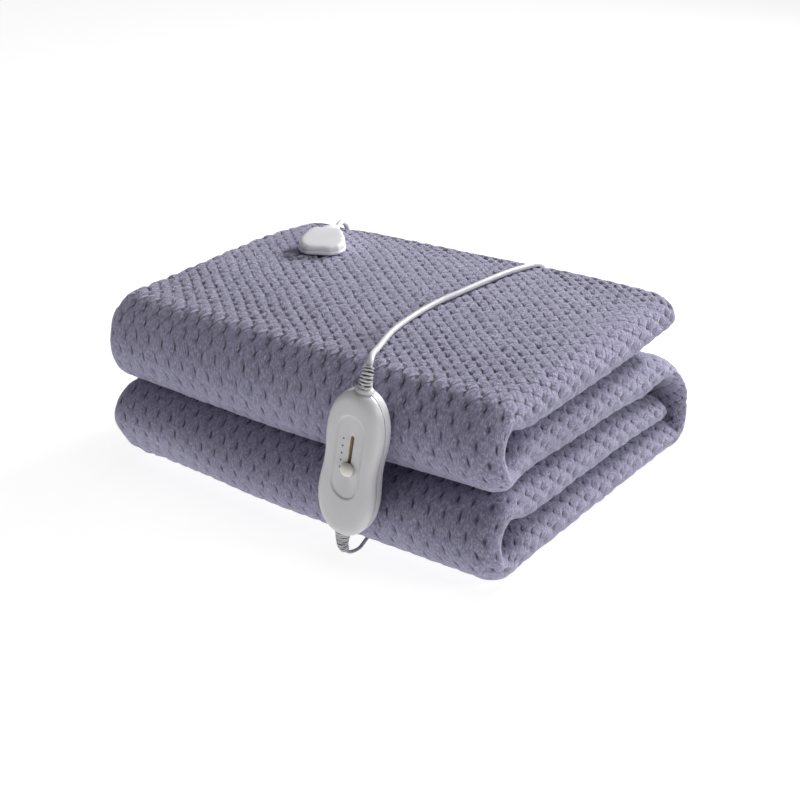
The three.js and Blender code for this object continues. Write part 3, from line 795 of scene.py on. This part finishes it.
acrossRows = [
    {"name": "first quarter", "run": hemX - leftCentre},
    {"name": "upper left fold", "turn": -180, "radius": smallFold},
    {"name": "second quarter", "run": rightCentre - leftCentre},
    {"name": "right fold", "turn": -180, "radius": wrapFold},
    {"name": "third quarter", "run": rightCentre - leftCentre},
    {"name": "lower left fold", "turn": -180, "radius": smallFold},
    {"name": "fourth quarter", "run": hemX - leftCentre},
]
alongRows = [
    {"name": "top band", "run": noseY - frontCentre},
    {"name": "top front fold", "turn": 180, "radius": bandPitch / 2},
    {"name": "second band", "run": topCornerY - frontCentre},
    {"name": "back corner, upper", "turn": -90, "radius": upperCorner},
    {"name": "back wall", "run": 2 * bandPitch - upperCorner - lowerCorner},
    {"name": "back corner, lower", "turn": -90, "radius": lowerCorner},
    {"name": "bottom band", "run": bottomCornerY - frontCentre},
    {"name": "bottom front fold", "turn": -180, "radius": bandPitch / 2},
    {"name": "inner band", "run": tongueY - frontCentre},
]
# The plies lie closer through a turn, and closer to its outer side
squeezes = [
    {"from": "top front fold", "to": "second band", "before": 34, "after": 30, "share": 0.62,
     "outer": 1},
    {"from": "back corner, upper", "to": "bottom band", "before": 40, "after": 12, "share": 0.44,
     "outer": -1},
    {"from": "bottom front fold", "to": "inner band", "before": 30, "after": 34, "share": 0.62,
     "outer": -1},
]
squeezeRise, squeezeFall = 30, 20
# Soft pushes, in millimetres. One that names a first run leaves the cloth before that run alone.
settling = [
    {"at": (-10, -80, 79), "reach": (150, 400, 48), "push": (0, 0, -8)},  # front crease
    {"at": (-30, 0, 158), "reach": (150, 400, 60), "push": (0, 0, 1.5)},  # crown
    {"at": (230, 0, 158), "reach": (80, 400, 70), "push": (0, 0, -3.5)},  # right of the top
    {"at": (-40, 149, 158), "reach": (120, 40, 50), "push": (0, 0, -6)},  # back of the top
    {"at": (-190, 160, 158), "reach": (95, 70, 60), "push": (0, 0, -8)},  # left back corner
    {"at": (-163, 138, 156), "reach": (20, 22, 26), "push": (0, 3, -3)},  # left cord bed
    {"at": (57, 142, 156), "reach": (20, 22, 26), "push": (0, 4, -2)},  # right cord bed
    {"at": (200, 149, 122), "reach": (150, 70, 24), "push": (0, 0, 5)},  # nose lifts
    {"at": (60, 170, 105), "reach": (400, 75, 50), "push": (0, 0, -27),
     "first": "second band"},  # back turn
    {"at": (0, 200, 50), "reach": (900, 80, 60), "push": (0, -6, 0)},  # back wall
    {"at": (-215, -100, 120), "reach": (60, 150, 35), "push": (6, 0, 0)},  # left end, upper
    {"at": (-175, -150, 20), "reach": (90, 60, 28), "push": (0, 5, 7)},  # left end, lower
    {"at": (205, -144, 98), "reach": (40, 20, 24), "push": (6, 0, 0)},  # upper lip
    {"at": (205, -80, 98), "reach": (40, 50, 18), "push": (-6, 0, 0)},  # behind the lip
    {"at": (205, -150, 25), "reach": (40, 20, 22), "push": (3, 0, 0)},  # lower lip
]
settleRise = 150

# How the cloth's two ends draw back, in their thickness and at their corners
roundedEnds = {"inThickness": 13, "inPlan": 11, "planFrom": 166, "planTo": 200, "fade": 60}

leadGroove = {"depth": 4.5, "half": 6.0, "fade": 14}

tufts = {
    "row": 7.5,  # distance between rows; each is set off by half a tuft
    "fine": 2,  # cuts in a row's step where the cloth shows
    "pit": 2.2,
    "pitPower": 1.6,
    "groove": 1.3,
    "crossGroove": 1.1,
    "groovePower": 3,
    "drift": 2.4,
    "driftSize": 60,
    "jitter": 1.0,
    "jitterSize": 11,
    "rough": 0.7,
    "roughSize": 7,
    "lean": 0.22,
    "bend": 0.45,
    "hem": 4.5,
    "thinnest": 0.06,  # share of the thickness that is left at the very hem
    "fineFrom": 2.6,  # edges longer than this carry weaker tufts
    "fineTo": 4.2,  # and past this none
}

# How high the pile stands, and how much of that a fold takes away
pileRules = {
    "standing": 0.8,
    "opened": 0.4,
    "openedBefore": 25,
    "openedReach": 45,
    "closed": 0.8,
    "closedFrom": 4,
    "closedTo": 34,
    "closedAfter": 30,
    "closedRight": 0.45,
    "rightMargin": 30,
    "rightInside": 8,
}


def easing(low, high, values):
    t = np.clip((values - low) / (high - low), 0, 1)
    return t * t * (3 - 2 * t)


# Where each row of a path starts, with its heading there
def pathStarts(start, heading, rows):
    a, b, gone = start[0], start[1], 0.0
    for row in rows:
        row.update(a=a, b=b, heading=heading, start=gone)
        if "radius" in row:
            sign = math.copysign(1, row["turn"])
            turned = heading + math.radians(row["turn"])
            a += sign * row["radius"] * (math.sin(turned) - math.sin(heading))
            b -= sign * row["radius"] * (math.cos(turned) - math.cos(heading))
            gone += abs(math.radians(row["turn"])) * row["radius"]
            heading = turned
        else:
            a += row["run"] * math.cos(heading)
            b += row["run"] * math.sin(heading)
            gone += row["run"]
        row["end"] = gone
    return gone


def alongPath(rows, values):
    a, b, heading = np.zeros(values.shape), np.zeros(values.shape), np.zeros(values.shape)
    for row in rows:
        last = row is rows[-1]
        here = (values >= row["start"]) & ((values < row["end"]) | last)
        gone = values[here] - row["start"]
        if "radius" in row:
            sign = math.copysign(1, row["turn"])
            turned = row["heading"] + sign * gone / row["radius"]
            a[here] = row["a"] + sign * row["radius"] * (np.sin(turned) - math.sin(row["heading"]))
            b[here] = row["b"] - sign * row["radius"] * (np.cos(turned) - math.cos(row["heading"]))
            heading[here] = turned
        else:
            a[here] = row["a"] + gone * math.cos(row["heading"])
            b[here] = row["b"] + gone * math.sin(row["heading"])
            heading[here] = row["heading"]
    return a, b, heading


cutWidth = pathStarts((hemX, plyPitch / 2), math.pi, acrossRows)
cutLength = pathStarts((noseY, halfBand + 3 * bandPitch), math.pi, alongRows)
acrossRow = {row["name"]: row for row in acrossRows}
alongRow = {row["name"]: row for row in alongRows}


def squeezed(d, v):
    offset = d.copy()
    for row in squeezes:
        low, high = alongRow[row["from"]]["start"], alongRow[row["to"]]["start"]
        rise = easing(low - row["before"], low + squeezeRise, v)
        amount = rise * (1 - easing(high - squeezeFall, high + row["after"], v))
        share = 1 - (1 - row["share"]) * amount
        offset = offset * share + row["outer"] * (1 - share) * halfBand
    return offset


def recede(x, d):
    spec = roundedEnds
    inThickness = 1 - np.sqrt(np.maximum(0, 1 - (d / (halfBand + 1)) ** 2))
    inPlan = easing(spec["planFrom"], spec["planTo"], np.abs(x)) ** 2
    return spec["inThickness"] * inThickness + spec["inPlan"] * inPlan


def settled(spots, v):
    moved = spots.copy()
    offTheFloor = easing(0, 5, spots[:, 2])
    for row in settling:
        away = (spots - np.array(row["at"])) / np.array(row["reach"])
        begun = 1.0
        if "first" in row:
            first = alongRow[row["first"]]["start"]
            begun = easing(first, first + settleRise, v)
        share = begun * np.exp(-(away ** 2).sum(axis=1))
        push = np.array(row["push"])
        moved[:, 0] += share * push[0]
        moved[:, 1] += share * push[1]
        moved[:, 2] += share * push[2] * offTheFloor
    return moved


# The lowest ply is pressed in along the mains lead
def pressedByLead(u, x, v, w):
    third = acrossRow["third quarter"]
    inRow = (u > third["start"]) & (u < third["end"]) & (w > 0)
    begun = easing(alongRow["back corner, lower"]["start"], alongRow["bottom band"]["start"], v)
    front = alongRow["bottom front fold"]["start"]
    left = 1 - easing(front, front + leadGroove["fade"], v)
    across = np.exp(-(((x - leadX) / leadGroove["half"]) ** 4))
    return np.where(inRow, leadGroove["depth"] * begun * left * across, 0)


def folded(u, v, w):
    ua, ub, uHeading = alongPath(acrossRows, u)
    va, vb, vHeading = alongPath(alongRows, v)
    x = ua - np.sin(uHeading) * w
    d = ub + np.cos(uHeading) * w
    fromNose = np.maximum(0, 1 - v / roundedEnds["fade"]) ** 2
    fromTongue = np.maximum(0, 1 - (cutLength - v) / roundedEnds["fade"]) ** 2
    slip = recede(x, d) * (fromNose - fromTongue)
    offset = squeezed(d, v) + pressedByLead(u, ua, v, w)
    y = va + slip * np.cos(vHeading) + np.sin(vHeading) * offset
    z = vb + slip * np.sin(vHeading) - np.cos(vHeading) * offset
    return settled(np.stack([x, y, z], axis=1), v)


# Steps of the flat cut, in rows of tufts
acrossSteps = {
    "first quarter": 10,
    "upper left fold": 1,
    "second quarter": 2,
    "right fold": 1,
    "third quarter": 2,
    "lower left fold": 1,
    "fourth quarter": 10,
}
alongSteps = {row["name"]: 2 for row in alongRows}
foldMargins = {"before": 15, "after": 7, "tight": 30}


# Lines of the flat cut, closer where a fold or a showing run needs them
def cutLines(rows, steps, total):
    row = tufts["row"]
    lines = [0.0]
    while lines[-1] < total:
        here = lines[-1]
        name = next((r["name"] for r in rows if here < r["end"] - 0.1), rows[-1]["name"])
        step = steps[name] * row
        for fold in rows:
            before, after = foldMargins["before"] + step, foldMargins["after"]
            if "radius" in fold and fold["start"] - before < here < fold["end"] + after:
                step = min(step, row if fold["radius"] < foldMargins["tight"] else 2 * row)
        lines.append(here + step)
    lines[-1] = total
    if lines[-1] - lines[-2] < 2:
        lines.pop(-2)
    return lines


# How far past its runs the cloth is cut finely
showMargins = {
    "sideFold": 14,
    "topFront": 30,
    "nose": 45,
    "backBefore": 90,
    "backAfter": 15,
    "frontBefore": 62,
    "frontAfter": 55,
}


# The parts of the cloth that show, as runs of u and v with a margin
def shows(u, v):
    margin = showMargins
    starts = {name: row["start"] for name, row in {**acrossRow, **alongRow}.items()}
    ends = {name: row["end"] for name, row in {**acrossRow, **alongRow}.items()}
    folds = False
    for name in ("upper left fold", "right fold", "lower left fold"):
        folds = folds or starts[name] - margin["sideFold"] < u < ends[name] + margin["sideFold"]
    inSecond = starts["second quarter"] <= u <= ends["second quarter"]
    top = v < ends["top front fold"] + margin["topFront"]
    inThird = starts["third quarter"] <= u <= ends["third quarter"]
    nose = v < margin["nose"]
    backStart = starts["back corner, upper"] - margin["backBefore"]
    back = backStart < v < ends["back corner, lower"] + margin["backAfter"]
    frontStart = starts["bottom front fold"] - margin["frontBefore"]
    front = frontStart < v < ends["bottom front fold"] + margin["frontAfter"]
    return folds or (inSecond and top) or (inThird and (nose or back or front))


def flatCut():
    uLines = cutLines(acrossRows, acrossSteps, cutWidth)
    vLines = cutLines(alongRows, alongSteps, cutLength)
    bm = bmesh.new()
    bmesh.ops.create_grid(bm, x_segments=len(uLines) - 1, y_segments=len(vLines) - 1, size=1)
    for vert in bm.verts:
        i = round((vert.co.x + 1) / 2 * (len(uLines) - 1))
        j = round((vert.co.y + 1) / 2 * (len(vLines) - 1))
        vert.co = (uLines[i], vLines[j], ply / 2)
    faces = bm.faces[:]
    made = bmesh.ops.extrude_face_region(bm, geom=faces, use_keep_orig=True)
    for item in made["geom"]:
        if isinstance(item, bmesh.types.BMVert):
            item.co.z = -ply / 2
    return bm


# Cuts the long edges first, so that every showing face is then cut to the same fine step
def refine(bm):
    def showing(face):
        middle = face.calc_center_median()
        return middle.z > ply / 4 and shows(middle.x, middle.y)

    row = tufts["row"]
    for cuts, shortest in ((1, 1.5 * row), (tufts["fine"], 0.6 * row)):
        shown = (edge for face in bm.faces if showing(face) for edge in face.edges)
        edges = list(dict.fromkeys(edge for edge in shown if edge.calc_length() > shortest))
        bmesh.ops.subdivide_edges(bm, edges=edges, cuts=cuts, use_grid_fill=True)
    return bm


def noiseAt(u, v, size, level):
    return np.array([noise.noise(Vector((a, b, level))) for a, b in zip(u / size, v / size)])


# How far the tufts lie from an even lattice, and how rough they are
def drift(u, v):
    wide = np.stack([noiseAt(u, v, tufts["driftSize"], level) for level in (3.1, 9.7)], axis=1)
    near = np.stack([noiseAt(u, v, tufts["jitterSize"], level) for level in (5.3, 1.9)], axis=1)
    rough = noiseAt(u, v, tufts["roughSize"], 7.7) + 0.5
    return wide * tufts["drift"] + near * tufts["jitter"], rough


# The pile lies flatter round the front folds and the right fold, so its grooves all but close there
def standing(u, v):
    spec = pileRules
    flatter = np.zeros(v.shape)
    for name in ("top front fold", "bottom front fold"):
        start, end = alongRow[name]["start"], alongRow[name]["end"]
        rise = easing(start + spec["closedFrom"], start + spec["closedTo"], v)
        flatter = np.maximum(flatter, rise * (1 - easing(end, end + spec["closedAfter"], v)))
    start, end = acrossRow["right fold"]["start"], acrossRow["right fold"]["end"]
    rise = easing(start - spec["rightMargin"], start + spec["rightInside"], u)
    right = rise * (1 - easing(end - spec["rightInside"], end + spec["rightMargin"], u))
    shoulder = alongRow["top front fold"]["start"]
    opened = np.exp(-(((v - shoulder + spec["openedBefore"]) / spec["openedReach"]) ** 2))
    pile = spec["standing"] + spec["opened"] * opened
    return pile * (1 - spec["closed"] * flatter) * (1 - spec["closedRight"] * right)


def fleeceMesh():
    bm = refine(flatCut())
    bm.verts.ensure_lookup_table()
    flat = np.array([v.co for v in bm.verts], float)
    u, v, w = flat.T
    edgeSums = [sum(edge.calc_length() for edge in vert.link_edges) for vert in bm.verts]
    fineness = np.array([total / len(vert.link_edges) for total, vert in zip(edgeSums, bm.verts)])
    moved, rough = drift(u, v)
    lattice = np.stack([u - tufts["lean"] * v, v], axis=1) + moved
    period = 2 * tufts["row"]
    alongSlit = 2 * np.pi * (lattice[:, 0] + lattice[:, 1]) / period
    acrossSlit = 2 * np.pi * (lattice[:, 0] - lattice[:, 1]) / period + tufts["bend"] * np.sin(alongSlit)
    first = (1 + np.cos(alongSlit)) / 2
    second = (1 + np.cos(acrossSlit)) / 2
    pile = standing(u, v)
    groove = tufts["groove"] * second ** tufts["groovePower"] * (0.2 + 0.8 * first)
    crossGroove = tufts["crossGroove"] * first ** tufts["groovePower"]
    depth = tufts["pit"] * (0.75 + 0.5 * rough) * (first * second) ** tufts["pitPower"]
    depth += np.maximum(groove, crossGroove) * pile
    depth += tufts["rough"] * rough
    depth *= 1 - easing(tufts["fineFrom"], tufts["fineTo"], fineness)
    toHem = np.minimum(np.minimum(v, cutLength - v), tufts["hem"]) / tufts["hem"]
    taper = np.sqrt(np.clip(1 - (1 - toHem) ** 2, tufts["thinnest"], 1))
    thin = w * taper - depth * (w > 0)
    spots = folded(u, v, thin)
    tuftMap = bm.loops.layers.uv.new("tufts")
    pileMap = bm.loops.layers.uv.new("pile")
    for face in bm.faces:
        for loop in face.loops:
            loop[tuftMap].uv = lattice[loop.vert.index] * 0.001
            loop[pileMap].uv = (pile[loop.vert.index], 0)
    for vert, spot in zip(bm.verts, spots):
        vert.co = toFrame(spot)
    bmesh.ops.recalc_face_normals(bm, faces=bm.faces[:])
    return bm


fleeceLook = {
    "deep": (0.25, 0.237, 0.35, 1),
    "pale": (0.29, 0.276, 0.395, 1),
    "tipsAndHighlight": (0.6, 0.575, 0.76, 1),
    "clumps": (0.11, 0.104, 0.165, 1),
    "pitsPaintedShade": (0.03, 0.028, 0.055, 1),
    "sheenTint": (0.86, 0.84, 1.0, 1),
    "patchScale": 18,
    "mattingScale": 95,
    "fluffScale": 330,
    "fibreScale": 760,
    "fibreStretch": (1.0, 0.75, 1.0),
    "grooveSharpness": 7.0,
    "dotSharpness": 5.0,
    "grooveShade": 0.12,
    "pitShade": 0.85,
    "grooveDepth": 0.9,
    "fibreDepth": 0.45,
    "bump": 0.0017,
}


def fleeceMaterial():
    look = fleeceLook
    material, tree, shader = newMaterial("tufted fleece", {
        "Roughness": 0.95, "Specular IOR Level": 0.12, "Sheen Weight": 0.8, "Sheen Roughness": 0.42,
        "Sheen Tint": look["sheenTint"]})

    def wave(place, power):
        half = mathNode(tree, "MULTIPLY_ADD", mathNode(tree, "COSINE", place), 0.5, 0.5)
        return half, mathNode(tree, "POWER", half, power)

    # The two sets of grooves, on the flat cut's own lattice
    flat = addNode(tree, "ShaderNodeUVMap", uv_map="tufts").outputs[0]
    across, along = addNode(tree, "ShaderNodeSeparateXYZ", {0: flat}).outputs[:2]
    turns = 2 * math.pi / (2 * tufts["row"] * 0.001)
    alongSlit = mathNode(tree, "MULTIPLY", mathNode(tree, "ADD", across, along), turns)
    acrossSlit = mathNode(tree, "MULTIPLY", mathNode(tree, "SUBTRACT", across, along), turns)
    bent = mathNode(tree, "MULTIPLY_ADD", mathNode(tree, "SINE", alongSlit), tufts["bend"], acrossSlit)
    first, firstGroove = wave(alongSlit, look["grooveSharpness"])
    second, secondGroove = wave(bent, look["grooveSharpness"])
    pile = addNode(tree, "ShaderNodeUVMap", uv_map="pile").outputs[0]
    strength = addNode(tree, "ShaderNodeSeparateXYZ", {0: pile}).outputs[0]
    broken = mathNode(tree, "MULTIPLY", secondGroove, mathNode(tree, "MULTIPLY_ADD", first, 0.8, 0.2))
    grooves = mathNode(tree, "MULTIPLY", mathNode(tree, "MAXIMUM", firstGroove, broken), strength)

    # Pits where they cross, drawn out to dashes where the pile stands
    dot = mathNode(tree, "POWER", mathNode(tree, "MULTIPLY", first, second), look["dotSharpness"])
    dash = mathNode(tree, "MULTIPLY", secondGroove, first)
    pit = mathNode(tree, "MAXIMUM", dot, mathNode(tree, "MULTIPLY", dash, strength))
    matted = noiseNode(tree, flat, look["mattingScale"], 2)
    pit = mathNode(tree, "MULTIPLY", pit, spread(tree, matted, 0.35, 0.6, 0.75, 1.2))
    # The valley mask darkens the colour in the grooves and pits: painted shade
    valley = mathNode(tree, "MULTIPLY_ADD", grooves, look["grooveShade"], pit, clamp=True)

    # Colour: patches, light fibre tips that are partly painted highlight, darker clumps, then painted
    # shade in the pits and grooves
    stretched = addNode(tree, "ShaderNodeMapping", {"Vector": flat, "Scale": look["fibreStretch"]})
    fibres = noiseNode(tree, stretched.outputs[0], look["fibreScale"], 4, 0.7)
    fluff = noiseNode(tree, flat, look["fluffScale"], 3, 0.65)
    patches = noiseNode(tree, flat, look["patchScale"], 2)
    base = mixColours(tree, spread(tree, patches, 0.3, 0.7), look["deep"], look["pale"])
    # Light fibre tips: partly the fibres' own lighter tone, partly painted highlight of fibres catching
    # the light
    lit = mixColours(tree, spread(tree, fibres, 0.45, 0.72), base, look["tipsAndHighlight"])
    clumped = mixColours(tree, spread(tree, fluff, 0.32, 0.55, 0.4, 0.0), lit, look["clumps"])
    pitShare = mathNode(tree, "MULTIPLY", valley, look["pitShade"], clamp=True)
    tree.links.new(mixColours(tree, pitShare, clumped, look["pitsPaintedShade"]), shader.inputs["Base Color"])

    # Bump: grooves and pits go in, fluff and fibres come out
    lines = mathNode(tree, "MULTIPLY_ADD", grooves, -look["grooveDepth"],
                     mathNode(tree, "MULTIPLY", pit, -1.0))
    ruffled = mathNode(tree, "MULTIPLY_ADD", strength, 0.9, 0.2)
    height = mathNode(tree, "MULTIPLY_ADD", fluff, ruffled, lines)
    height = mathNode(tree, "MULTIPLY_ADD", fibres, look["fibreDepth"], height)
    bump = addNode(tree, "ShaderNodeBump", {"Strength": 1.0, "Distance": look["bump"], "Height": height})
    tree.links.new(bump.outputs["Normal"], shader.inputs["Normal"])
    return material


fleece = keep("blanket_fleece", fleeceMesh(), fleeceMaterial(), ("blanket",))
faceCount = len(fleece.data.polygons)
print("stage: cloth,", faceCount, "faces, cut", round(cutWidth), "by", round(cutLength), "mm")
